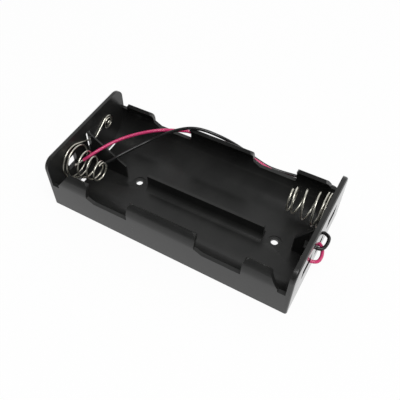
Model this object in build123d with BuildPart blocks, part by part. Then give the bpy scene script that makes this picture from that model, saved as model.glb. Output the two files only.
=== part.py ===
from build123d import *
from math import acos, atan2, cos, degrees, hypot, pi, radians, sin, tan
import os

# Open tray for four C size cells: two rows side by side, two cells end to end in each row.
# Millimetres. X runs along the rows, Y from the near side wall to the far one, Z up.
# The origin is the bottom centre of the tray.

# Cells and rows
cell_diameter = 26.2
cell_clearance = 0.25

# Tray
tray_length = 116.0
tray_width = 57.0
tray_height = 27.5
end_wall = 2.2
side_wall = 1.6
floor_thickness = 1.6
end_corner_radius = 5.0
outer_edge_radius = 1.0

# Side wall tabs that lean in over the cells, and the gaps between them
tab_bend_radius = 9.0
tab_bend_angle = 49.5
gap_inner_x = 16.2
gap_outer_x = 37.0
near_gap_floor_z = 13.2
far_gap_floor_z = 12.4
gap_chamfer_x = 3.6
gap_chamfer_z = 2.0
tab_corner = 2.6
near_notch_floor_z = 13.2
far_notch_floor_z = 16.4
notch_width = 3.4
near_tab_slope_x = 5.2
near_tab_slope_z = 7.0
far_tab_slope_x = 2.4
far_tab_slope_z = 4.6

# Divider on the centre line: a gusset at each end and a rib between them
divider_thickness = 1.5
rib_start_x = -23.8
rib_end_x = 34.9
rib_height = 7.6
rib_foot_radius = 3.2
left_gusset_length = 19.9
left_gusset_foot_height = 7.3
left_gusset_wall_height = 20.8
right_gusset_length = 7.6
right_gusset_foot_height = 8.6
right_gusset_wall_height = 20.3

# Screw holes in the floor
screw_hole_radius = 1.6
screw_hole_spacing = 69.5
screw_hole_centre_x = 5.5
screw_recess_radius = 3.0
screw_recess_depth = 0.3

# Windows in the end walls, slots in the floor below them, clips that hold the spring bases
left_window_width = 6.0
right_window_width = 9.5
window_height = 6.3
spring_window_drop = 0.65
button_window_drop = 2.15
floor_slot_length = 3.0
floor_slot_width = 7.4
clip_width = 4.0
clip_thickness = 1.5
clip_lip = 0.8
clip_lip_height = 1.1
clip_bevel = 0.5
clip_gap = 0.1

# Hollow corners under the tray, outside the rows
hollow_inner_y = 19.5
hollow_end = 5.5
hollow_rib = 1.5
hollow_bays = 4

# Spring wire contacts. Past its base, a spring has a coil radius and a depth from the wall at each
# of the turns listed
wire_diameter = 0.8
wire_seat_gap = 0.02
contact_shift_y = 0.6
contact_height = 15.6
spring_base_radius = 8.0
spring_base_turns = 1.2
spring_turns = [2.2, 3.2, 4.1, 5.1]
left_spring_pitch = 1.8
left_spring_radii = [5.95, 5.2, 4.4, 4.35]
left_spring_depths = [7.0, 11.3, 14.7, 15.8]
right_spring_pitch = 1.2
right_spring_radii = [6.9, 6.1, 5.5, 5.4]
right_spring_depths = [5.6, 11.0, 14.8, 16.1]
button_height = 17.1
button_outer_radius = 3.75
button_inner_radius = 1.9
button_turns = 1.75
button_rise = 1.2
link_shift = 1.225
link_low_z = 15.2
link_bend_radius = 3.0
link_slot_width = 1.3
link_slot_low_z = 14.2
link_slot_height = 5.8
wall_slot_width = 2.8
wall_slot_low_z = 11.4
wall_slot_height = 10.6
negative_start_angle = -60.0
points_per_turn = 12

# Leads, and the holes that they pass through
lead_diameter = 1.5
lead_hole_clearance = 0.2
tinned_diameter = 0.9
red_tinned_length = 4.6
black_tinned_length = 3.0
black_hole_reach = 6.15
black_hole_drop = 5.1
red_hole_reach = 5.05
red_hole_drop = 6.6
solder_radius = 1.5
port_low_y = -2.3
port_high_y = 6.4
port_low_z = 7.2
port_high_z = 12.5
port_depth = 3.3
exit_x = 54.6
exit_z = 10.4
exit_width = 2.2
exit_height = 4.3
bend_share = 0.45

# Derived places
row_radius = cell_diameter / 2 + cell_clearance
row_y = tray_width / 2 - side_wall - row_radius
row_axis_z = floor_thickness + row_radius
inner_x = tray_length / 2 - end_wall
side_y = tray_width / 2
outside_y = 2 * side_y
bend_y = side_y - tab_bend_radius
tab_top_z = row_axis_z + tab_bend_radius * sin(radians(tab_bend_angle))
wire_radius = wire_diameter / 2
wire_seat = wire_radius + wire_seat_gap
spring_window_z = contact_height - spring_window_drop
button_window_z = button_height - button_window_drop
screw_x = [screw_hole_centre_x - screw_hole_spacing / 2, screw_hole_centre_x + screw_hole_spacing / 2]
above = 2 * tray_height
tolerance = 0.01
front_contact_y = contact_shift_y - row_y
back_contact_y = contact_shift_y + row_y
black_hole_y = back_contact_y - black_hole_reach
black_hole_z = contact_height - black_hole_drop
red_hole_y = front_contact_y + red_hole_reach
red_hole_z = button_height - red_hole_drop

os.makedirs("parts", exist_ok=True)


def wire_point(end, depth, across, height):
    """A point of a contact wire, from its depth off the end wall's inner face.
    The right end repeats the left one turned half round, so across changes sign with the end."""
    return Vector(end * (inner_x - depth), contact_shift_y - end * across, height)


def coil_points(end, across, height, start_angle, stages):
    """Points round a coil that changes radius and depth from stage to stage."""
    steps = round((stages[-1][0] - stages[0][0]) * points_per_turn)
    points = []
    for step in range(steps + 1):
        turns = stages[0][0] + (stages[-1][0] - stages[0][0]) * step / steps
        after = next((i for i in range(1, len(stages)) if turns <= stages[i][0]), len(stages) - 1)
        before_turns, before_radius, before_depth = stages[after - 1]
        after_turns, after_radius, after_depth = stages[after]
        share = (turns - before_turns) / (after_turns - before_turns)
        radius = before_radius + share * (after_radius - before_radius)
        depth = before_depth + share * (after_depth - before_depth)
        angle = radians(start_angle) + 2 * pi * turns
        points.append(
            wire_point(end, depth, across + radius * cos(angle), height + radius * sin(angle))
        )
    return points


def tangent_angle(centre, radius, outside, side):
    """Angle, in degrees, of the point on a circle where the line from an outside point touches it."""
    reach = (outside[0] - centre[0], outside[1] - centre[1])
    return degrees(atan2(reach[1], reach[0]) + side * acos(radius / hypot(*reach)))


def spring_stages(start_turns, pitch, radii, depths):
    """Stages of a conical spring, each with the turns so far, the coil radius and the depth from the
    wall: first the base turns against the wall, then the open turns to the tip."""
    base_depth = wire_seat + (spring_base_turns - start_turns) * pitch
    return [
        (start_turns, spring_base_radius, wire_seat),
        (spring_base_turns, spring_base_radius, base_depth),
        *zip(spring_turns, radii, depths),
    ]


def coil_direction(end, angle):
    """Direction in which a coil's wire runs at an angle round it."""
    return Vector(0, end * sin(radians(angle)), cos(radians(angle)))


def arc_chain(points, direction):
    """Arcs from point to point, each one leaving along the end of the one before."""
    for start, end in zip(points, points[1:]):
        arc = TangentArc(start, end, tangent=direction)
        direction = arc % 1


def sweep_wire(path, diameter):
    """Sweep a round section along a path, from its start."""
    with BuildSketch(Plane(path @ 0, z_dir=path % 0)) as section:
        Circle(diameter / 2)
    sweep(section.sketch, path=path)


def route_radii(route):
    """Bend radius at each corner of a lead's route: its arc takes up a share of the shorter run."""
    radii = []
    for before, corner, after in zip(route, route[1:], route[2:]):
        run_in = Vector(*corner) - Vector(*before)
        run_out = Vector(*after) - Vector(*corner)
        half_turn = radians(run_in.get_angle(run_out)) / 2
        radii.append(bend_share * min(run_in.length, run_out.length) / tan(half_turn))
    return radii


# Where the contact wires leave their coils, seen in the plane of the left end wall
button_centre_radius = button_outer_radius - wire_radius
button_stages = [
    (-button_turns, button_inner_radius, wire_seat + button_rise),
    (0, button_centre_radius, wire_seat),
]
link_low = ((spring_base_radius - button_centre_radius) / 2 + link_shift, link_low_z)
link_angle = tangent_angle((-row_y, contact_height), spring_base_radius, link_low, 1)
button_angle = tangent_angle((row_y, button_height), button_centre_radius, link_low, -1)
negative_start_turns = (negative_start_angle - link_angle) / 360
tail_end = (row_y - red_hole_reach, red_hole_z)
tail_angle = tangent_angle((row_y, button_height), button_centre_radius, tail_end, -1)

# Tray, moulded in one piece
with BuildPart() as housing:
    # Floor, troughs and curved side walls: one section carried between the end walls
    with BuildSketch(Plane.YZ.offset(-inner_x)):
        with BuildLine():
            row_floor = Line((0, floor_thickness), (row_y, floor_thickness))
            trough = CenterArc((row_y, row_axis_z), row_radius, 270, 90)
            inner_bend = CenterArc((bend_y, row_axis_z), tab_bend_radius - side_wall, 0, tab_bend_angle)
            outer_bend = CenterArc((bend_y, row_axis_z), tab_bend_radius, 0, tab_bend_angle)
            Line(inner_bend @ 1, outer_bend @ 1)
            Polyline(outer_bend @ 0, (side_y, 0), (0, 0), row_floor @ 0)
        make_face()
        mirror(about=Plane.YZ)
    extrude(amount=2 * inner_x)

    # Gaps between the tabs, a little deeper in the far side wall
    for left_x in (-gap_outer_x, gap_inner_x):
        right_x = left_x + gap_outer_x - gap_inner_x
        corner_z = tab_top_z - tab_corner
        for side, floor_z in ((-1, near_gap_floor_z), (1, far_gap_floor_z)):
            with BuildSketch(Plane.XZ):
                with BuildLine():
                    left_corner = CenterArc((left_x - tab_corner, corner_z), tab_corner, 0, 90)
                    right_corner = CenterArc((right_x + tab_corner, corner_z), tab_corner, 90, 90)
                    Polyline(
                        left_corner @ 0,
                        (left_x, floor_z + gap_chamfer_z),
                        (left_x + gap_chamfer_x, floor_z),
                        (right_x, floor_z),
                        right_corner @ 1,
                    )
                    Polyline(
                        left_corner @ 1,
                        (left_x - tab_corner, above),
                        (right_x + tab_corner, above),
                        right_corner @ 0,
                    )
                make_face()
            extrude(amount=-side * outside_y, mode=Mode.SUBTRACT)

    # Notches between the outer tabs and the end walls, lower and longer sloped on the near side
    notch_x = inner_x - notch_width
    for side, floor_z, slope_x, slope_z in (
        (-1, near_notch_floor_z, near_tab_slope_x, near_tab_slope_z),
        (1, far_notch_floor_z, far_tab_slope_x, far_tab_slope_z),
    ):
        for end in (-1, 1):
            with BuildSketch(Plane.XZ):
                Polygon(
                    (end * (inner_x + end_wall / 2), floor_z),
                    (end * notch_x, floor_z),
                    (end * notch_x, tab_top_z - slope_z),
                    (end * (notch_x - slope_x), tab_top_z),
                    (end * (notch_x - slope_x), above),
                    (end * (inner_x + end_wall / 2), above),
                    align=None,
                )
            extrude(amount=-side * outside_y, mode=Mode.SUBTRACT)

    # End walls with rounded upper corners
    for wall_x in (-tray_length / 2, inner_x):
        with BuildSketch(Plane.YZ.offset(wall_x)):
            with Locations((0, tray_height / 2)):
                end_face = Rectangle(tray_width, tray_height)
            fillet(end_face.vertices().group_by(Axis.Y)[-1], end_corner_radius)
        extrude(amount=end_wall)

    # Outer upright edges
    upright = housing.edges().filter_by(Axis.Z).filter_by(
        lambda edge: abs(abs(edge.center().X) - tray_length / 2) < tolerance
        and abs(abs(edge.center().Y) - side_y) < tolerance
    )
    fillet(upright, outer_edge_radius)

    # Gussets and rib on the centre line
    with BuildSketch(Plane.XZ.offset(-divider_thickness / 2)):
        for end, length, foot_height, wall_height in (
            (-1, left_gusset_length, left_gusset_foot_height, left_gusset_wall_height),
            (1, right_gusset_length, right_gusset_foot_height, right_gusset_wall_height),
        ):
            Polygon(
                (end * (inner_x + end_wall / 2), floor_thickness / 2),
                (end * (inner_x - length), floor_thickness / 2),
                (end * (inner_x - length), floor_thickness + foot_height),
                (end * inner_x, floor_thickness + wall_height),
                (end * (inner_x + end_wall / 2), floor_thickness + wall_height),
                align=None,
            )
    extrude(amount=divider_thickness)
    with BuildSketch(Plane.YZ.offset(rib_start_x)):
        rib_foot = divider_thickness / 2 + rib_foot_radius
        with BuildLine():
            foot_curve = CenterArc((rib_foot, floor_thickness + rib_foot_radius), rib_foot_radius, 180, 90)
            Polyline(
                foot_curve @ 0,
                (divider_thickness / 2, floor_thickness + rib_height),
                (0, floor_thickness + rib_height),
                (0, floor_thickness / 2),
                (rib_foot, floor_thickness / 2),
                foot_curve @ 1,
            )
        make_face()
        mirror(about=Plane.YZ)
    extrude(amount=rib_end_x - rib_start_x)

    # Opening at the left gusset's root that the contact's link passes, and the slot in the wall there
    with Locations((-inner_x, 0, link_slot_low_z)):
        Box(
            link_slot_width,
            2 * divider_thickness,
            link_slot_height,
            align=(Align.MIN, Align.CENTER, Align.MIN),
            mode=Mode.SUBTRACT,
        )
    with Locations((-inner_x, 0, wall_slot_low_z)):
        Box(
            2 * end_wall,
            wall_slot_width,
            wall_slot_height,
            align=(Align.MAX, Align.CENTER, Align.MIN),
            mode=Mode.SUBTRACT,
        )

    # Screw holes, each in a shallow round recess
    with Locations(*[(x, 0, floor_thickness) for x in screw_x]):
        CounterBoreHole(screw_hole_radius, screw_recess_radius, screw_recess_depth, floor_thickness)

    # Windows behind the contacts, all but the left button, and a floor slot at each end of each row
    for end, row, window_width, window_z in (
        (-1, -1, left_window_width, spring_window_z),
        (1, -1, right_window_width, button_window_z),
        (1, 1, right_window_width, spring_window_z),
    ):
        with Locations((end * (inner_x + end_wall / 2), row * row_y, window_z)):
            Box(end_wall * 2, window_width, window_height, mode=Mode.SUBTRACT)
    with Locations((0, 0, floor_thickness)):
        with GridLocations(2 * inner_x - floor_slot_length, 2 * row_y, 2, 2):
            Box(floor_slot_length, floor_slot_width, floor_thickness * 2, mode=Mode.SUBTRACT)

    # Clips that hold the two spring bases against the end walls
    clip_top_z = contact_height - spring_base_radius - wire_radius - clip_gap
    for end, start_turns, pitch, centre_y in (
        (-1, 0, left_spring_pitch, front_contact_y),
        (1, negative_start_turns, right_spring_pitch, back_contact_y),
    ):
        turns_at_clip = (270 - link_angle) / 360 - start_turns
        clip_reach = wire_seat + turns_at_clip * pitch + wire_radius + 2 * clip_gap
        with BuildSketch(Plane.XZ.offset(-centre_y - clip_width / 2)):
            Polygon(
                (end * (inner_x + end_wall / 2), clip_top_z),
                (end * (inner_x - clip_reach), clip_top_z),
                (end * (inner_x - clip_reach), clip_top_z + clip_lip_height),
                (end * (inner_x - clip_reach - clip_lip), clip_top_z + clip_lip_height - clip_bevel),
                (end * (inner_x - clip_reach - clip_lip), clip_top_z - clip_thickness + clip_bevel),
                (end * inner_x, clip_top_z - clip_thickness),
                (end * (inner_x + end_wall / 2), clip_top_z - clip_thickness),
                align=None,
            )
        extrude(amount=clip_width)

    # Holes for the leads in the right end wall, a port beside the gusset, an exit in the far wall
    lead_hole_radius = lead_diameter / 2 + lead_hole_clearance
    for y, z in ((black_hole_y, black_hole_z), (red_hole_y, red_hole_z)):
        with Locations(Plane((tray_length / 2, y, z), z_dir=(1, 0, 0))):
            Hole(lead_hole_radius, end_wall)
    with Locations((inner_x - port_depth, port_low_y, port_low_z)):
        Box(
            port_depth + 2 * end_wall,
            port_high_y - port_low_y,
            port_high_z - port_low_z,
            align=Align.MIN,
            mode=Mode.SUBTRACT,
        )
    with BuildSketch(Plane.XZ.offset(-outside_y)):
        with Locations((exit_x, exit_z)):
            SlotOverall(exit_height, exit_width, rotation=90)
    extrude(amount=outside_y - row_y, mode=Mode.SUBTRACT)

    # Hollow corners under the tray, open below and crossed by ribs
    bay_pitch = (2 * (tray_length / 2 - hollow_end) + hollow_rib) / hollow_bays
    with BuildSketch(Plane.YZ.offset(-bay_pitch / 2 + hollow_rib / 2)) as hollow_section:
        with Locations((hollow_inner_y, 0)):
            Rectangle(side_y - side_wall - hollow_inner_y, row_axis_z, align=Align.MIN)
        with Locations((row_y, row_axis_z)):
            Circle(row_radius + floor_thickness, mode=Mode.SUBTRACT)
        mirror(about=Plane.YZ)
    hollow = extrude(hollow_section.sketch, amount=bay_pitch - hollow_rib, mode=Mode.PRIVATE)
    with GridLocations(bay_pitch, 0, hollow_bays, 1):
        add(hollow, mode=Mode.SUBTRACT)

housing.part.label = "housing"
export_step(housing.part, "parts/housing.step")

# Left contact: a spring in the front row, a link in the gusset's slot, a button coil in the back row
with BuildPart() as left_contact:
    left_button = coil_points(-1, row_y, button_height, button_angle, button_stages)
    left_stages = spring_stages(0, left_spring_pitch, left_spring_radii, left_spring_depths)
    left_spring = coil_points(-1, -row_y, contact_height, link_angle, left_stages)
    with BuildLine() as left_path:
        link = FilletPolyline(
            left_button[-1],
            wire_point(-1, wire_seat, *link_low),
            left_spring[0],
            radius=link_bend_radius,
        )
        arc_chain(left_button[::-1], -(link % 0))
        arc_chain(left_spring, link % 1)
    sweep_wire(left_path.wire(), wire_diameter)

left_contact.part.label = "left_contact"
export_step(left_contact.part, "parts/left_contact.step")

# Negative contact: the spring of the back row, at the right end
with BuildPart() as negative_contact:
    negative_stages = spring_stages(
        negative_start_turns, right_spring_pitch, right_spring_radii, right_spring_depths
    )
    right_spring = coil_points(1, -row_y, contact_height, link_angle, negative_stages)
    with BuildLine() as negative_path:
        arc_chain(right_spring, coil_direction(1, negative_start_angle))
    sweep_wire(negative_path.wire(), wire_diameter)

negative_contact.part.label = "negative_contact"
export_step(negative_contact.part, "parts/negative_contact.step")

# Positive contact: the button coil of the front row, at the right end, with its soldering tail
with BuildPart() as positive_contact:
    right_button = coil_points(1, row_y, button_height, tail_angle, button_stages)
    with BuildLine() as positive_path:
        tail = Line(right_button[-1], wire_point(1, wire_seat, *tail_end))
        arc_chain(right_button[::-1], -(tail % 0))
    sweep_wire(positive_path.wire(), wire_diameter)

positive_contact.part.label = "positive_contact"
export_step(positive_contact.part, "parts/positive_contact.step")

# Solder that joins each lead's inner end to its contact wire, against the right end wall
with BuildPart() as black_solder:
    toward_hole = spring_base_radius / hypot(black_hole_reach, black_hole_drop)
    solder_y = back_contact_y - black_hole_reach * toward_hole
    solder_z = contact_height - black_hole_drop * toward_hole
    with Locations(Plane((inner_x, solder_y, solder_z), z_dir=(-1, 0, 0))):
        Sphere(solder_radius, arc_size1=0, align=(Align.CENTER, Align.CENTER, Align.MIN))
    add(negative_contact.part, mode=Mode.SUBTRACT)

black_solder.part.label = "black_solder"
export_step(black_solder.part, "parts/black_solder.step")

with BuildPart() as red_solder:
    with Locations(Plane((inner_x, red_hole_y, red_hole_z), z_dir=(-1, 0, 0))):
        Sphere(solder_radius, arc_size1=0, align=(Align.CENTER, Align.CENTER, Align.MIN))
    add(positive_contact.part, mode=Mode.SUBTRACT)

red_solder.part.label = "red_solder"
export_step(red_solder.part, "parts/red_solder.step")

# Routes of the leads: out through the end wall, back in beside the gusset, under the back row's
# spring, out through the far wall, along it, and back over it into the tray
red_route = [
    (inner_x, red_hole_y, red_hole_z),
    (60.4, red_hole_y, red_hole_z),
    (61.3, -2.6, 9.1),
    (59.3, 3.2, 8.4),
    (54.8, 4.2, 8.2),
    (54.8, 5.6, 5.1),
    (54.8, 8.8, 2.5),
    (54.8, 15.2, 2.5),
    (54.8, 20.0, 4.3),
    (54.75, 23.0, 9.2),
    (54.7, 31.8, 9.6),
    (51.2, 35.6, 5.4),
    (43.6, 35.0, 3.8),
    (35.2, 32.6, 5.2),
    (24.4, 30.2, 9.1),
    (16.6, 29.4, 12.6),
    (8.1, 29.4, 15.2),
    (0.0, 29.5, 15.3),
    (-7.0, 30.1, 14.1),
    (-13.1, 30.4, 13.7),
    (-18.0, 29.2, 14.9),
    (-21.3, 27.0, 15.9),
    (-23.6, 23.5, 18.2),
    (-26.4, 20.0, 20.0),
    (-31.9, 16.0, 20.0),
    (-39.3, 10.0, 18.8),
    (-43.8, 4.0, 18.2),
    (-46.4, -1.6, 18.0),
    (-48.7, -6.2, 17.2),
    (-51.6, -11.0, 15.45),
]
black_route = [
    (inner_x, black_hole_y, black_hole_z),
    (60.2, black_hole_y, black_hole_z),
    (61.2, 3.2, 11.2),
    (60.1, -1.3, 11.1),
    (54.8, -1.1, 11.0),
    (54.8, 4.5, 10.6),
    (54.8, 9.5, 4.3),
    (54.8, 15.1, 4.2),
    (54.8, 18.8, 6.2),
    (54.75, 22.6, 10.9),
    (54.7, 31.5, 12.0),
    (51.0, 35.6, 8.0),
    (43.5, 36.2, 6.0),
    (35.0, 35.0, 6.3),
    (28.0, 33.8, 6.6),
    (21.5, 32.4, 7.9),
    (14.2, 32.2, 10.9),
    (9.4, 31.8, 13.4),
    (4.9, 31.0, 16.0),
    (-0.8, 28.0, 20.6),
    (-9.0, 26.0, 23.1),
    (-14.9, 24.0, 23.3),
    (-20.4, 21.0, 21.9),
    (-25.0, 18.0, 19.7),
    (-31.0, 14.0, 16.2),
    (-34.9, 7.0, 15.8),
    (-37.6, 1.8, 15.5),
    (-40.0, -2.4, 14.7),
    (-43.2, -5.4, 12.9),
]

# Leads, each with its bare tinned end
for colour, route, tinned_length in (
    ("red", red_route, red_tinned_length),
    ("black", black_route, black_tinned_length),
):
    radii = route_radii(route)
    with BuildPart() as lead:
        with BuildLine() as lead_path:
            FilletPolyline(*route, radius=radii)
        sweep_wire(lead_path.wire(), lead_diameter)
    lead.part.label = f"{colour}_lead"
    export_step(lead.part, f"parts/{colour}_lead.step")

    with BuildPart() as tinned_end:
        with BuildSketch(Plane(route[-1], z_dir=Vector(*route[-1]) - Vector(*route[-2]))):
            Circle(tinned_diameter / 2)
        extrude(amount=tinned_length)
    tinned_end.part.label = f"{colour}_tinned_end"
    export_step(tinned_end.part, f"parts/{colour}_tinned_end.step")

    expected = lead_path.wire().length * pi * (lead_diameter / 2) ** 2
    print(colour, "lead: length", round(lead_path.wire().length, 1))
    print(colour, "lead: volume over section times length", round(lead.part.volume / expected, 4))
    print(colour, "lead: bend radii", [round(radius, 1) for radius in radii])
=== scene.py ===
import math

import bmesh
import bpy
import numpy as np
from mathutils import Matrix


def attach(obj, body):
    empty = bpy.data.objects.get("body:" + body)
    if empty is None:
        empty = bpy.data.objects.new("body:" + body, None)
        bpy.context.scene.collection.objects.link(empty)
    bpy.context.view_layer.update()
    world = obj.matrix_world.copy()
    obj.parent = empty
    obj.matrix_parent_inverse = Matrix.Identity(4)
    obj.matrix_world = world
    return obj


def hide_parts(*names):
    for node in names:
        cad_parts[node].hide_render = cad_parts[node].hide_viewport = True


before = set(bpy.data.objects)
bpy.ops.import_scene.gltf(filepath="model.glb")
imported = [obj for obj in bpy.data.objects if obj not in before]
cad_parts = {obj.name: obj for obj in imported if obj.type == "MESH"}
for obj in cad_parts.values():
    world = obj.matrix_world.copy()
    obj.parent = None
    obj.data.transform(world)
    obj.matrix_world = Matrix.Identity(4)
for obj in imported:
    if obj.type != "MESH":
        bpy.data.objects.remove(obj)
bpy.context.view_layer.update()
mm = 0.001  # the settings of the wires and of the finishes are in millimetres
print("frame loaded")


# Colours, nodes and meshes

def srgb(hexColour):  # one place turns written colours into linear ones
    values = [int(hexColour[i:i + 2], 16) / 255 for i in (0, 2, 4)]
    return tuple(v / 12.92 if v <= 0.04045 else ((v + 0.055) / 1.055) ** 2.4 for v in values) + (1.0,)


def addNode(tree, kind, settings=None, links=None):  # settings by socket or property, links by socket
    node = tree.nodes.new(kind)
    for name, value in (settings or {}).items():
        if isinstance(name, int) or name in node.inputs:
            node.inputs[name].default_value = value
        else:
            setattr(node, name, value)
    for name, source in (links or {}).items():
        tree.links.new(source, node.inputs[name])
    return node


def startMaterial(name):
    material = bpy.data.materials.new(name)
    material.use_nodes = True
    tree = material.node_tree
    tree.nodes.clear()
    place = addNode(tree, "ShaderNodeTexCoord").outputs["Object"]
    return material, tree, place


def endMaterial(tree, shader):
    addNode(tree, "ShaderNodeOutputMaterial", links={"Surface": shader.outputs[0]})


def newPiece(name, points, faces, material, slot, replaced):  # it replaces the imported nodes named
    mesh = bpy.data.meshes.new(name)
    mesh.from_pydata(points.tolist(), [], faces)
    mesh.polygons.foreach_set("use_smooth", np.ones(len(mesh.polygons), bool))
    mesh.materials.append(material)
    mesh.validate()
    piece = bpy.data.objects.new(name, mesh)
    bpy.context.scene.collection.objects.link(piece)
    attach(piece, "root")
    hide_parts(*replaced)
    return piece


def tubeSurface(path, radius, sides):
    # Rings round a path: each ring's two axes are those of the ring before it, turned with the path.
    # radius may vary along the path and round it. Both ends close on a point of the path.
    along = np.gradient(path, axis=0)
    along /= np.linalg.norm(along, axis=1)[:, None]
    first = np.cross(along[0], (0.3, 0.5, 0.8))  # any direction that no path here starts in
    first /= np.linalg.norm(first)
    across = [first]
    for direction in along[1:]:
        turned = across[-1] - direction * (across[-1] @ direction)
        across.append(turned / np.linalg.norm(turned))
    across = np.array(across)
    upward = np.cross(along, across)
    angle = np.linspace(0, 2 * np.pi, sides, endpoint=False)
    size = np.broadcast_to(radius, (len(path), sides))
    rings = (
        path[:, None]
        + size[..., None] * np.cos(angle)[None, :, None] * across[:, None]
        + size[..., None] * np.sin(angle)[None, :, None] * upward[:, None]
    )
    points = np.concatenate([rings.reshape(-1, 3), path[:1], path[-1:]])
    row = np.arange(len(path) - 1)[:, None] * sides
    side = np.arange(sides)[None, :]
    after = (side + 1) % sides
    quads = np.stack(
        np.broadcast_arrays(row + side, row + after, row + sides + after, row + sides + side), -1
    ).reshape(-1, 4)
    side, after = side[0], after[0]
    start = np.stack([np.full(sides, len(path) * sides), after, side], -1)
    last = (len(path) - 1) * sides
    end = np.stack([np.full(sides, len(path) * sides + 1), last + side, last + after], -1)
    return points, quads.tolist() + start.tolist() + end.tolist()


# Finishes

def mouldedPlastic():
    # Black polypropylene, injection moulded: a satin skin with a pale sheen at low angles. The end
    # walls are taken as polished outside, where they look pale, with a painted highlight on their
    # rims.
    look = {
        "colour": "191a1a", "paler": "2c2c2b", "roughness": 0.24, "rougher": 0.36, "ior": 1.46,
        "flow": 9.0, "flowDetail": 3.0,  # patches left by the flow of the melt
        # mould grain, drawn coarser than the real one, which is too fine to show
        "grain": 0.35, "grainDetail": 2.0, "grainDepth": 0.012, "grainStrength": 0.35,
        "polished": 0.12, "outside": 57.9,  # from the middle
        # painted highlight: a pale colour along the outer edge of each end wall's rim
        "paintedRimHighlight": "b4b4b0", "paintedHighlightFrom": 27.15, "paintedHighlightTo": 27.35,  # heights of the rims
        "paintedHighlightInner": 57.55, "paintedHighlightOuter": 57.8,  # the rims' outer edges, from the middle
    }
    material, tree, place = startMaterial("mouldedPlastic")
    flow = addNode(
        tree, "ShaderNodeTexNoise",
        {"Scale": 1 / (look["flow"] * mm), "Detail": look["flowDetail"]}, {"Vector": place},
    )
    tint = addNode(
        tree, "ShaderNodeMix",
        {"data_type": "RGBA", 6: srgb(look["colour"]), 7: srgb(look["paler"])},
        {0: flow.outputs["Fac"]},
    )
    axes = addNode(tree, "ShaderNodeSeparateXYZ", links={"Vector": place})
    outward = addNode(tree, "ShaderNodeMath", {"operation": "ABSOLUTE"}, {0: axes.outputs["X"]})
    rim = addNode(
        tree, "ShaderNodeMapRange",
        {"From Min": look["paintedHighlightFrom"] * mm, "From Max": look["paintedHighlightTo"] * mm},
        {"Value": axes.outputs["Z"]},
    )
    rimEdge = addNode(
        tree, "ShaderNodeMapRange",
        {"From Min": look["paintedHighlightInner"] * mm, "From Max": look["paintedHighlightOuter"] * mm},
        {"Value": outward.outputs[0], "To Max": rim.outputs["Result"]},
    )
    # the painted highlight is mixed into the skin colour along the rims' outer edges
    skin = addNode(
        tree, "ShaderNodeMix", {"data_type": "RGBA", 7: srgb(look["paintedRimHighlight"])},
        {0: rimEdge.outputs["Result"], 6: tint.outputs[2]},
    )
    satin = addNode(
        tree, "ShaderNodeMapRange",
        {"To Min": look["roughness"], "To Max": look["rougher"]},
        {"Value": flow.outputs["Fac"]},
    )
    endFace = addNode(
        tree, "ShaderNodeMath", {"operation": "GREATER_THAN", 1: look["outside"] * mm},
        {0: outward.outputs[0]},
    )
    gloss = addNode(
        tree, "ShaderNodeMix", {"data_type": "FLOAT", 3: look["polished"]},
        {0: endFace.outputs[0], 2: satin.outputs["Result"]},
    )
    grain = addNode(
        tree, "ShaderNodeTexNoise",
        {"Scale": 1 / (look["grain"] * mm), "Detail": look["grainDetail"]}, {"Vector": place},
    )
    bump = addNode(
        tree, "ShaderNodeBump",
        {"Strength": look["grainStrength"], "Distance": look["grainDepth"] * mm},
        {"Height": grain.outputs["Fac"]},
    )
    shader = addNode(
        tree, "ShaderNodeBsdfPrincipled", {"IOR": look["ior"]},
        {
            "Base Color": skin.outputs[2], "Roughness": gloss.outputs[0],
            "Normal": bump.outputs["Normal"],
        },
    )
    endMaterial(tree, shader)
    return material


def nickelWire():  # nickel plated spring steel, drawn: bright, with faint stains and a fine grain
    look = {
        "colour": "f0eee4", "darker": "d2cfc0", "roughness": 0.3, "stain": 3.0, "stainDetail": 4.0,
        "grain": 0.12, "grainDetail": 2.0, "grainDepth": 0.004, "grainStrength": 0.2,
    }
    material, tree, place = startMaterial("nickelWire")
    stain = addNode(
        tree, "ShaderNodeTexNoise",
        {"Scale": 1 / (look["stain"] * mm), "Detail": look["stainDetail"]}, {"Vector": place},
    )
    tint = addNode(
        tree, "ShaderNodeMix",
        {"data_type": "RGBA", 6: srgb(look["colour"]), 7: srgb(look["darker"])},
        {0: stain.outputs["Fac"]},
    )
    grain = addNode(
        tree, "ShaderNodeTexNoise",
        {"Scale": 1 / (look["grain"] * mm), "Detail": look["grainDetail"]}, {"Vector": place},
    )
    bump = addNode(
        tree, "ShaderNodeBump",
        {"Strength": look["grainStrength"], "Distance": look["grainDepth"] * mm},
        {"Height": grain.outputs["Fac"]},
    )
    shader = addNode(
        tree, "ShaderNodeBsdfPrincipled", {"Metallic": 1.0, "Roughness": look["roughness"]},
        {"Base Color": tint.outputs[2], "Normal": bump.outputs["Normal"]},
    )
    endMaterial(tree, shader)
    return material


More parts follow.
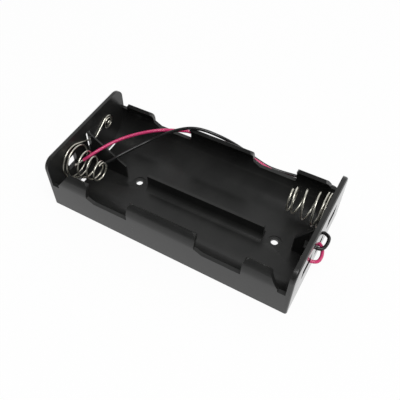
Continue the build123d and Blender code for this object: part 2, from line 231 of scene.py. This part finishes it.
def softInsulation(name, colour, deeper, roughness):  # PVC, extruded: waxy, with handling marks
    look = {
        "ior": 1.53, "rougherBy": 0.09, "mark": 4.0, "markDetail": 3.0,
        "ripple": 0.6, "rippleDetail": 1.0, "rippleDepth": 0.02, "rippleStrength": 0.15,
    }
    material, tree, place = startMaterial(name)
    mark = addNode(
        tree, "ShaderNodeTexNoise",
        {"Scale": 1 / (look["mark"] * mm), "Detail": look["markDetail"]}, {"Vector": place},
    )
    tint = addNode(
        tree, "ShaderNodeMix", {"data_type": "RGBA", 6: srgb(colour), 7: srgb(deeper)},
        {0: mark.outputs["Fac"]},
    )
    gloss = addNode(
        tree, "ShaderNodeMapRange",
        {"To Min": roughness, "To Max": roughness + look["rougherBy"]},
        {"Value": mark.outputs["Fac"]},
    )
    ripple = addNode(
        tree, "ShaderNodeTexNoise",
        {"Scale": 1 / (look["ripple"] * mm), "Detail": look["rippleDetail"]}, {"Vector": place},
    )
    bump = addNode(
        tree, "ShaderNodeBump",
        {"Strength": look["rippleStrength"], "Distance": look["rippleDepth"] * mm},
        {"Height": ripple.outputs["Fac"]},
    )
    shader = addNode(
        tree, "ShaderNodeBsdfPrincipled", {"IOR": look["ior"]},
        {
            "Base Color": tint.outputs[2], "Roughness": gloss.outputs["Result"],
            "Normal": bump.outputs["Normal"],
        },
    )
    endMaterial(tree, shader)
    return material


def brightSolder(name, colour, roughness):  # tin alloy, melted on: soft bright metal, frosted
    look = {
        "smootherBy": 0.08, "rougherBy": 0.12,
        # frosting, drawn coarser than the real one, which is too fine to show
        "frost": 0.25, "frostDetail": 3.0, "frostDepth": 0.02, "frostStrength": 0.3,
    }
    material, tree, place = startMaterial(name)
    frost = addNode(
        tree, "ShaderNodeTexNoise",
        {"Scale": 1 / (look["frost"] * mm), "Detail": look["frostDetail"]}, {"Vector": place},
    )
    gloss = addNode(
        tree, "ShaderNodeMapRange",
        {"To Min": roughness - look["smootherBy"], "To Max": roughness + look["rougherBy"]},
        {"Value": frost.outputs["Fac"]},
    )
    bump = addNode(
        tree, "ShaderNodeBump",
        {"Strength": look["frostStrength"], "Distance": look["frostDepth"] * mm},
        {"Height": frost.outputs["Fac"]},
    )
    shader = addNode(
        tree, "ShaderNodeBsdfPrincipled", {"Metallic": 1.0, "Base Color": srgb(colour)},
        {"Roughness": gloss.outputs["Result"], "Normal": bump.outputs["Normal"]},
    )
    endMaterial(tree, shader)
    return material


plastic = mouldedPlastic()
nickel = nickelWire()
redInsulation = softInsulation("redInsulation", "e2427f", "cf3069", 0.17)
blackInsulation = softInsulation("blackInsulation", "161617", "101011", 0.3)
solder = brightSolder("solder", "b9b9b6", 0.35)
tinnedCopper = brightSolder("tinnedCopper", "cfcac0", 0.28)
print("finishes made")


# Tray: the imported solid's surface with its sharp edges rounded as a mould rounds them

tray = {
    "edgeRadius": 0.3 * mm, "edgeSteps": 2, "sharpFrom": 28.0,  # degrees
    "merge": 0.001 * mm, "flatTo": 0.5,  # degrees
    # Where this copy departs from the solid, in metres: the points in each box are moved along X, and
    # their distance from the centre line is multiplied. Two floor slots, near right and far left, get
    # shorter, and the left gusset gets thinner.
    "pointReach": 0.05 * mm,
    "moves": (
        {"from": (0.0528, -0.01725, 0.0), "to": (0.0528, -0.00985, 0.0022), "by": (0.0016, 1.0)},
        {"from": (-0.0528, 0.00985, 0.0), "to": (-0.0528, 0.01725, 0.0022), "by": (-0.0012, 1.0)},
        {"from": (-0.0558, -0.00075, 0.0016), "to": (-0.0359, 0.00075, 0.0224), "by": (0.0, 0.55)},
    ),
}


def roundedCopy(node, name, settings, material):  # merged, then its points moved as set above
    shape = bmesh.new()
    shape.from_mesh(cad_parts[node].data)
    bmesh.ops.remove_doubles(shape, verts=shape.verts, dist=settings["merge"])
    bmesh.ops.dissolve_limit(
        shape, angle_limit=math.radians(settings["flatTo"]), verts=shape.verts, edges=shape.edges
    )
    mesh = bpy.data.meshes.new(name)
    shape.to_mesh(mesh)
    shape.free()
    points = np.empty(3 * len(mesh.vertices))
    mesh.vertices.foreach_get("co", points)
    points = points.reshape(-1, 3)
    reach = settings["pointReach"]
    for move in settings["moves"]:
        low, high = np.subtract(move["from"], reach), np.add(move["to"], reach)
        chosen = ((points > low) & (points < high)).all(1)
        along, thinner = move["by"]
        points[chosen, 0] += along
        points[chosen, 1] *= thinner
    mesh.vertices.foreach_set("co", points.ravel())
    mesh.polygons.foreach_set("use_smooth", np.ones(len(mesh.polygons), bool))
    mesh.set_sharp_from_angle(angle=math.radians(settings["sharpFrom"]))
    mesh.materials.clear()
    mesh.materials.append(material)
    piece = bpy.data.objects.new(name, mesh)
    bpy.context.scene.collection.objects.link(piece)
    bevel = piece.modifiers.new("mouldedEdges", "BEVEL")
    bevel.width = settings["edgeRadius"]
    bevel.segments = settings["edgeSteps"]
    bevel.limit_method = "ANGLE"
    bevel.angle_limit = math.radians(settings["sharpFrom"])
    bevel.harden_normals = True
    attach(piece, "root")
    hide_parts(node)


roundedCopy("housing", "mouldedTray", tray, plastic)
print("tray made")


# Contact wires, each carried along its own path

wire = {
    "radius": 0.4, "sides": 16, "pointsPerTurn": 48, "innerX": 55.8, "seat": 0.42,
    "rowY": 13.55, "shiftY": 0.6, "easeTurns": 0.12, "easeSteps": 9,
}
base = {"height": 15.6, "radius": 8.0, "turns": 1.2}  # the wide turns of both springs
leftSpring = {
    "pitch": 1.8, "turns": (2.2, 3.2, 4.1, 5.1), "radii": (5.95, 5.2, 4.4, 4.35),
    "depths": (7.0, 11.3, 14.7, 15.8),
}
rightSpring = {
    "pitch": 1.2, "turns": (2.2, 3.2, 4.1, 5.1), "radii": (6.9, 6.1, 5.5, 5.4),
    "depths": (5.6, 11.0, 14.8, 16.1), "startAngle": -60.0,
}
button = {
    "height": 17.1, "outer": 3.35, "closed": 2.5, "closedTurns": 1.0, "inner": 0.7, "turns": 2.2,
    # how far the middle rises above the outer turn, left and right, and the share at the closed turn
    "rise": (1.2, 0.2), "closedRise": 1 / 3,
}
link = {"low": (3.55, 15.2), "bend": 3.0, "steps": 12}
tail = {"end": (8.5, 10.5), "steps": 24}


def wirePoints(end, depth, across, height):  # the right end is the left one turned half round
    sideways = wire["shiftY"] - end * across
    return np.stack(np.broadcast_arrays(end * (wire["innerX"] - depth), sideways, height), -1) * mm


def touchAngle(centre, radius, outside, side):
    # angle on a circle where the line from an outside point touches it
    away = np.subtract(outside, centre)
    return math.atan2(away[1], away[0]) + side * math.acos(radius / math.hypot(*away))


def coil(end, centre, startAngle, turnsFrom, turnsTo, stages):
    # a circle whose radius and depth change with the turns: straight lines between the stages, with
    # the changes eased over about a quarter turn
    count = int((turnsTo - turnsFrom) * wire["pointsPerTurn"]) + 1
    turns = np.linspace(turnsFrom, turnsTo, count)
    ease = np.linspace(-wire["easeTurns"], wire["easeTurns"], wire["easeSteps"])
    sample = np.clip(turns[:, None] + ease[None, :], turnsFrom, turnsTo)
    radius = np.interp(sample, stages["turns"], stages["radii"]).mean(1)
    depth = np.interp(sample, stages["turns"], stages["depths"]).mean(1)
    angle = startAngle + 2 * np.pi * turns
    return wirePoints(
        end, depth, centre[0] + radius * np.cos(angle), centre[1] + radius * np.sin(angle)
    )


def springStages(own, startTurns):  # the wide turns first, then the turns that narrow to the tip
    wideDepth = wire["seat"] + (base["turns"] - startTurns) * own["pitch"]
    return {
        "turns": (startTurns, base["turns"], *own["turns"]),
        "radii": (base["radius"], base["radius"], *own["radii"]),
        "depths": (wire["seat"], wideDepth, *own["depths"]),
    }


def buttonStages(rise):  # the outermost turn lies close round the next one
    return {
        "turns": (-button["turns"], -button["closedTurns"], 0.0),
        "radii": (button["inner"], button["closed"], button["outer"]),
        "depths": (wire["seat"] + rise, wire["seat"] + rise * button["closedRise"], wire["seat"]),
    }


def bentLink(start, corner, end, bend, steps):  # two straight runs with one round bend between
    into = (corner - start) / np.linalg.norm(corner - start)
    out = (end - corner) / np.linalg.norm(end - corner)
    half = math.acos(float(np.clip(into @ out, -1, 1))) / 2
    reach = bend * math.tan(half)
    share = np.linspace(0, 1, steps)[:, None]
    runIn = start + share * (corner - into * reach - start)
    runOut = corner + out * reach + share * (end - corner - out * reach)
    inward = (out - into) / np.linalg.norm(out - into)
    centre = corner + inward * bend / math.cos(half)
    sweep = np.linspace(-half, half, steps)[1:-1, None]
    middle = (into + out) / np.linalg.norm(into + out)
    bendPart = centre + bend * (np.sin(sweep) * middle - np.cos(sweep) * inward)
    return np.concatenate([runIn, bendPart, runOut])


springCentre = (-wire["rowY"], base["height"])
buttonCentre = (wire["rowY"], button["height"])
linkAngle = touchAngle(springCentre, base["radius"], link["low"], 1)
buttonAngle = touchAngle(buttonCentre, button["outer"], link["low"], -1)
tailAngle = touchAngle(buttonCentre, button["outer"], tail["end"], -1)

leftRise, rightRise = button["rise"]
leftButton = coil(-1, buttonCentre, buttonAngle, -button["turns"], 0.0, buttonStages(leftRise))
leftCoil = coil(
    -1, springCentre, linkAngle, 0.0, leftSpring["turns"][-1], springStages(leftSpring, 0.0)
)
linkLow = wirePoints(-1, wire["seat"], *link["low"])
linkRun = bentLink(leftButton[-1], linkLow, leftCoil[0], link["bend"] * mm, link["steps"])
leftPath = np.concatenate([leftButton, linkRun[1:-1], leftCoil])

startTurns = (math.radians(rightSpring["startAngle"]) - linkAngle) / (2 * math.pi)
negativePath = coil(
    1, springCentre, linkAngle, startTurns, rightSpring["turns"][-1],
    springStages(rightSpring, startTurns),
)

rightButton = coil(1, buttonCentre, tailAngle, -button["turns"], 0.0, buttonStages(rightRise))
tailEnd = wirePoints(1, wire["seat"], *tail["end"])
share = np.linspace(0, 1, tail["steps"])[1:, None]
tailRun = rightButton[-1] + share * (tailEnd - rightButton[-1])
positivePath = np.concatenate([rightButton, tailRun])

for name, path, node in (
    ("leftContactWire", leftPath, "left_contact"),
    ("negativeContactWire", negativePath, "negative_contact"),
    ("positiveContactWire", positivePath, "positive_contact"),
):
    newPiece(
        name, *tubeSurface(path, wire["radius"] * mm, wire["sides"]), nickel, "spring_wire", (node,)
    )
print("contact wires made")


# Leads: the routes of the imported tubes, in metres

redLead = {
    "name": "redLeadInsulation", "node": "red_lead", "tinnedNode": "red_tinned_end",
    "diameter": 0.0015, "length": 0.184, "tinned": 0.0046,
    "route": [
        (0.0558, -0.0079, 0.0105), (0.0604, -0.0079, 0.0105), (0.0613, -0.0026, 0.0091),
        (0.0593, 0.0032, 0.0084), (0.0548, 0.0042, 0.0082), (0.0548, 0.0056, 0.0051),
        (0.0548, 0.0088, 0.0025),
        (0.0548, 0.0152, 0.0025), (0.0548, 0.0200, 0.0043), (0.05475, 0.0230, 0.0092),
        (0.0547, 0.0318, 0.0096), (0.0512, 0.0356, 0.0054), (0.0436, 0.0350, 0.0038),
        (0.0352, 0.0326, 0.0052), (0.0244, 0.0302, 0.0091), (0.0166, 0.0294, 0.0126),
        (0.0081, 0.0294, 0.0152), (0.0, 0.0295, 0.0153), (-0.0070, 0.0301, 0.0141),
        (-0.0131, 0.0304, 0.0137), (-0.0180, 0.0292, 0.0149), (-0.0213, 0.0270, 0.0159),
        (-0.0236, 0.0235, 0.0182), (-0.0264, 0.0200, 0.0200), (-0.0319, 0.0160, 0.0200),
        (-0.0393, 0.0100, 0.0188), (-0.0438, 0.0040, 0.0182), (-0.0464, -0.0016, 0.0180),
        (-0.0487, -0.0062, 0.0172), (-0.0516, -0.0110, 0.01545),
    ],
}
blackLead = {
    "name": "blackLeadInsulation", "node": "black_lead", "tinnedNode": "black_tinned_end",
    "diameter": 0.0015, "length": 0.175, "tinned": 0.0030,
    "route": [
        (0.0558, 0.0080, 0.0105), (0.0602, 0.0080, 0.0105), (0.0612, 0.0032, 0.0112),
        (0.0601, -0.0013, 0.0111), (0.0548, -0.0011, 0.0110), (0.0548, 0.0045, 0.0106),
        (0.0548, 0.0095, 0.0043),
        (0.0548, 0.0151, 0.0042), (0.0548, 0.0188, 0.0062), (0.05475, 0.0226, 0.0109),
        (0.0547, 0.0315, 0.0120), (0.0510, 0.0356, 0.0080), (0.0435, 0.0362, 0.0060),
        (0.0350, 0.0350, 0.0063), (0.0280, 0.0338, 0.0066), (0.0215, 0.0324, 0.0079),
        (0.0142, 0.0322, 0.0109), (0.0094, 0.0318, 0.0134), (0.0049, 0.0310, 0.0160),
        (-0.0008, 0.0280, 0.0206), (-0.0090, 0.0260, 0.0231), (-0.0149, 0.0240, 0.0233),
        (-0.0204, 0.0210, 0.0219), (-0.0250, 0.0180, 0.0197), (-0.0310, 0.0140, 0.0162),
        (-0.0349, 0.0070, 0.0158), (-0.0376, 0.0018, 0.0155), (-0.0400, -0.0024, 0.0147),
        (-0.0432, -0.0054, 0.0129),
    ],
}
leadShape = {"order": 3, "stepsPerPoint": 8, "roundness": 6}
strands = {
    "radius": 0.45 * mm, "count": 7, "depth": 0.09, "twist": 4.0 * mm, "rounding": 0.5 * mm,
    "sides": 56, "rings": 60,
}


def leadCurve(lead, material):  # a round tube along a smooth curve drawn by the route's points
    curve = bpy.data.curves.new(lead["name"], "CURVE")
    curve.dimensions = "3D"
    spline = curve.splines.new("NURBS")
    spline.points.add(len(lead["route"]) - 1)
    flat = [value for point in lead["route"] for value in (*point, 1.0)]
    spline.points.foreach_set("co", flat)
    spline.order_u = leadShape["order"]
    spline.use_endpoint_u = True
    spline.resolution_u = leadShape["stepsPerPoint"]
    curve.bevel_depth = lead["diameter"] / 2
    curve.bevel_resolution = leadShape["roundness"]
    curve.use_fill_caps = True
    curve.materials.append(material)
    piece = bpy.data.objects.new(lead["name"], curve)
    bpy.context.scene.collection.objects.link(piece)
    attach(piece, "root")
    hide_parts(lead["node"])
    return piece


def tinnedEnd(lead):
    # twisted strands: a tube whose radius rises and falls round it, turning with the length, and
    # rounds off at its end
    start = np.array(lead["route"][-1])
    heading = start - np.array(lead["route"][-2])
    heading /= np.linalg.norm(heading)
    distance = np.linspace(0, lead["tinned"], strands["rings"])
    path = start + distance[:, None] * heading
    angle = np.linspace(0, 2 * np.pi, strands["sides"], endpoint=False)
    turned = angle[None, :] + 2 * np.pi * distance[:, None] / strands["twist"]
    wave = np.cos(strands["count"] * turned)
    left = np.clip((lead["tinned"] - distance) / strands["rounding"], 0, 1)[:, None]
    rounding = np.sqrt(1 - (1 - left) ** 2)
    radius = strands["radius"] * (1 + strands["depth"] * (wave - 1)) * rounding
    name = lead["name"].replace("Insulation", "Strands")
    return newPiece(
        name, *tubeSurface(path, radius, strands["sides"]), tinnedCopper, "tinned_copper",
        (lead["tinnedNode"],),
    )


for lead, material, slot in (
    (redLead, redInsulation, "red_insulation"), (blackLead, blackInsulation, "black_insulation"),
):
    piece = leadCurve(lead, material)
    end = tinnedEnd(lead)
print("leads made")


# Solder joints keep their packed form

for node in ("black_solder", "red_solder"):
    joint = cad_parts[node]
    joint.data.materials.clear()
    joint.data.materials.append(solder)
print("solder made")


# Floor, light and camera

studio = {
    "floorHalf": 1.5, "floorColour": "ffffff", "shadowShare": 0.06,
    "bright": 0.9, "dim": 0.15, "dimSide": (0.1, -0.8, 0.59), "fadeFrom": -0.45, "fadeTo": 0.65,
}
lamp = {"place": (0.3, -0.16, 0.8), "target": (0, 0, 0), "size": 0.5, "power": 4.6}


def seenDirectly(tree):  # 1 for what the camera sees, also by way of a shiny or clear surface
    path = addNode(tree, "ShaderNodeLightPath")
    shiny = addNode(
        tree, "ShaderNodeMath", {"operation": "MAXIMUM"},
        {0: path.outputs["Is Camera Ray"], 1: path.outputs["Is Glossy Ray"]},
    )
    return addNode(
        tree, "ShaderNodeMath", {"operation": "MAXIMUM"},
        {0: shiny.outputs[0], 1: path.outputs["Is Transmission Ray"]},
    )


def whiteFloor():  # matt board: it takes and gives light as it is, but is seen white, faintly shaded
    material, tree, _ = startMaterial("whiteFloor")
    matte = addNode(tree, "ShaderNodeBsdfDiffuse", {"Color": srgb(studio["floorColour"])})
    white = addNode(tree, "ShaderNodeEmission", {"Strength": 1.0})
    share = addNode(
        tree, "ShaderNodeMath", {"operation": "MULTIPLY", 1: 1 - studio["shadowShare"]},
        {0: seenDirectly(tree).outputs[0]},
    )
    seen = addNode(
        tree, "ShaderNodeMixShader",
        links={0: share.outputs[0], 1: matte.outputs[0], 2: white.outputs[0]},
    )
    endMaterial(tree, seen)
    half = studio["floorHalf"]
    mesh = bpy.data.meshes.new("floor")
    corners = [(-half, -half, 0), (half, -half, 0), (half, half, 0), (-half, half, 0)]
    mesh.from_pydata(corners, [], [(0, 1, 2, 3)])
    mesh.materials.append(material)
    floor = bpy.data.objects.new("floor", mesh)
    bpy.context.scene.collection.objects.link(floor)


def studioWorld():  # a white room, dimmer above and on the near side: all white to the camera itself
    world = bpy.data.worlds.new("studioWorld")
    bpy.context.scene.world = world
    world.use_nodes = True
    tree = world.node_tree
    tree.nodes.clear()
    heading = addNode(tree, "ShaderNodeTexCoord").outputs["Generated"]
    toward = addNode(
        tree, "ShaderNodeVectorMath", {"operation": "DOT_PRODUCT", 1: studio["dimSide"]}, {0: heading}
    )
    fade = addNode(
        tree, "ShaderNodeMapRange",
        {
            "From Min": studio["fadeFrom"], "From Max": studio["fadeTo"],
            "To Min": studio["bright"], "To Max": studio["dim"],
        },
        {"Value": toward.outputs["Value"]},
    )
    room = addNode(tree, "ShaderNodeBackground", links={"Strength": fade.outputs["Result"]})
    white = addNode(tree, "ShaderNodeBackground", {"Strength": 1.0})
    room.inputs["Color"].default_value = white.inputs["Color"].default_value = (1, 1, 1, 1)
    path = addNode(tree, "ShaderNodeLightPath")
    seen = addNode(
        tree, "ShaderNodeMixShader",
        links={0: path.outputs["Is Camera Ray"], 1: room.outputs[0], 2: white.outputs[0]},
    )
    addNode(tree, "ShaderNodeOutputWorld", links={"Surface": seen.outputs[0]})


def areaLight(name, place, target, size, power):  # a square lamp, turned to face its target
    data = bpy.data.lights.new(name, "AREA")
    data.size = size
    data.energy = power
    light = bpy.data.objects.new(name, data)
    bpy.context.scene.collection.objects.link(light)
    light.location = place
    aim = np.subtract(target, place)
    light.rotation_euler = (
        math.atan2(math.hypot(aim[0], aim[1]), -aim[2]), 0, math.atan2(aim[1], aim[0]) - math.pi / 2,
    )


whiteFloor()
studioWorld()
areaLight("topSoftbox", lamp["place"], lamp["target"], lamp["size"], lamp["power"])

view = {
    "place": (0.07276, -0.12611, 0.18867), "turn": (38.128, 2.131, 30.792), "lens": 46.624,
    "shift": (0.0665, 0.0089), "sensor": 36, "nearest": 0.005,
}
camera = bpy.data.objects.new("camera", bpy.data.cameras.new("camera"))
bpy.context.scene.collection.objects.link(camera)
camera.location = view["place"]
camera.rotation_euler = [math.radians(angle) for angle in view["turn"]]
camera.data.lens = view["lens"]
camera.data.sensor_width = view["sensor"]
camera.data.shift_x, camera.data.shift_y = view["shift"]
camera.data.clip_start = view["nearest"]
bpy.context.scene.camera = camera
bpy.context.scene.view_settings.view_transform = "Standard"

print("scene made")
